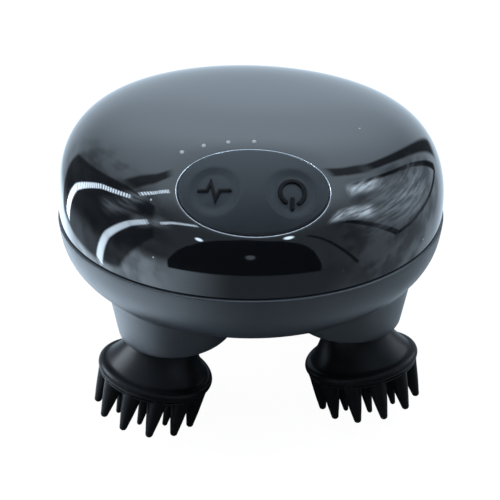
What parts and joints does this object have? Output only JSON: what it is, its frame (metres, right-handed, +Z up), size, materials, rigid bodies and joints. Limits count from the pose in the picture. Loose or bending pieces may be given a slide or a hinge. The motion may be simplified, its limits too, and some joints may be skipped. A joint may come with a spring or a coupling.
{
  "type": "electric scalp massager",
  "caption": "Round hand-held scalp massager: a glossy domed cover over a geared housing whose legs turn tilted silicone heads with soft teeth.",
  "frame": {"origin": "under the body's centre, on the plane that the lowest massage teeth stand on", "axes": "+Z up through the crown, -Y towards the button panel, +X to the user's right when they face the panel"},
  "size_m": [0.098, 0.098, 0.0777],
  "materials": {
    "cover": "high gloss black",
    "housing": "fine matte dark grey",
    "keypad": "matte silicone, very dark grey",
    "head": "soft silicone with a slight sheen, black",
    "gasket": "matte",
    "light": "frosted clear light pins",
    "board": "green solder mask",
    "chip": "matte black",
    "led": "satin",
    "steel": "plain",
    "dark_steel": "blackened",
    "frame": "matte dark grey",
    "cell": "foil pouch",
    "foam": "soft foam",
    "motor": "plated",
    "copper": "enamelled winding",
    "brass": "satin",
    "bronze": "sintered",
    "gear": "satin acetal",
    "core": "satin"
  },
  "bodies": {
    "body": {"top_cover": "cover", "bottom_housing": "housing", "seam_gasket": "gasket", "keypad": "keypad", "light_pins": "light", "control_board": "board", "controller_chip": "chip", "indicator_lights": "led", "tact_switches": "steel", "board_screws": "steel", "chassis_plate": "frame", "chassis_screws": "steel", "cover_screws": "dark_steel", "battery_cell": "cell", "battery_pad": "foam", "charge_board": "board", "charge_socket": "steel", "motor_bracket": "frame", "bracket_screws": "steel", "motor_can": "motor", "motor_end_cap": "chip", "motor_terminals": "brass", "motor_screws": "steel", "idler_axle": "steel", "sun_axle": "steel", "lower_bushes": "bronze", "upper_bushes": "bronze", "shaft_seals": "gasket"},
    "sun": {"sun_gear": "gear", "sun_wheel": "gear"},
    "idler": {"idler_gear": "gear"},
    "rotor": {"motor_shaft": "steel", "motor_armature": "copper", "motor_pinion": "brass"},
    "front_left_drive": {"front_left_spindle": "steel", "front_left_gear": "gear", "front_left_clip": "dark_steel", "front_left_core": "core", "front_left_head": "head"},
    "front_right_drive": {"front_right_spindle": "steel", "front_right_gear": "gear", "front_right_clip": "dark_steel", "front_right_core": "core", "front_right_head": "head"},
    "rear_left_drive": {"rear_left_spindle": "steel", "rear_left_gear": "gear", "rear_left_clip": "dark_steel", "rear_left_core": "core", "rear_left_head": "head"},
    "rear_right_drive": {"rear_right_spindle": "steel", "rear_right_gear": "gear", "rear_right_clip": "dark_steel", "rear_right_core": "core", "rear_right_head": "head"},
    "power_button": {"power_button": "keypad"},
    "pulse_button": {"pulse_button": "keypad"},
    "port_cover": {"port_cover": "keypad"}
  },
  "joints": [
    {"name": "sun_spin", "type": "hinge", "parent": "body", "child": "sun", "pos_m": [0, 0, 0.04657], "axis": [0, 0, 1], "continuous": true},
    {"name": "idler_spin", "type": "hinge", "parent": "body", "child": "idler", "pos_m": [0, 0.018, 0.05557], "axis": [0, 0, 1], "continuous": true},
    {"name": "rotor_spin", "type": "hinge", "parent": "body", "child": "rotor", "pos_m": [0, 0, 0.06257], "axis": [0, 0, 1], "continuous": true},
    {"name": "front_left_spin", "type": "hinge", "parent": "body", "child": "front_left_drive", "pos_m": [-0.01826, -0.0238, 0.03457], "axis": [0, 0, 1], "continuous": true},
    {"name": "front_right_spin", "type": "hinge", "parent": "body", "child": "front_right_drive", "pos_m": [0.0238, -0.01826, 0.03457], "axis": [0, 0, 1], "continuous": true},
    {"name": "rear_left_spin", "type": "hinge", "parent": "body", "child": "rear_left_drive", "pos_m": [-0.0238, 0.01826, 0.03457], "axis": [0, 0, 1], "continuous": true},
    {"name": "rear_right_spin", "type": "hinge", "parent": "body", "child": "rear_right_drive", "pos_m": [0.01826, 0.0238, 0.03457], "axis": [0, 0, 1], "continuous": true},
    {"name": "power_press", "type": "slide", "parent": "body", "child": "power_button", "axis": [-0.0203, 0.6334, -0.7736], "range_m": [0, 0.0004], "stiffness_N_per_m": 1500},
    {"name": "pulse_press", "type": "slide", "parent": "body", "child": "pulse_button", "axis": [-0.0203, 0.6334, -0.7736], "range_m": [0, 0.0004], "stiffness_N_per_m": 1500},
    {"name": "port_cover_swing", "type": "hinge", "parent": "body", "child": "port_cover", "pos_m": [0, 0.0478, 0.05532], "axis": [-1, 0, 0], "range_deg": [0, 95]}
  ],
  "couplings": [
    {"joint": "idler_spin", "follows": "sun_spin", "ratio": -5},
    {"joint": "rotor_spin", "follows": "sun_spin", "ratio": 25},
    {"joint": "front_left_spin", "follows": "sun_spin", "ratio": -1.5},
    {"joint": "front_right_spin", "follows": "sun_spin", "ratio": -1.5},
    {"joint": "rear_left_spin", "follows": "sun_spin", "ratio": -1.5},
    {"joint": "rear_right_spin", "follows": "sun_spin", "ratio": -1.5}
  ]
}
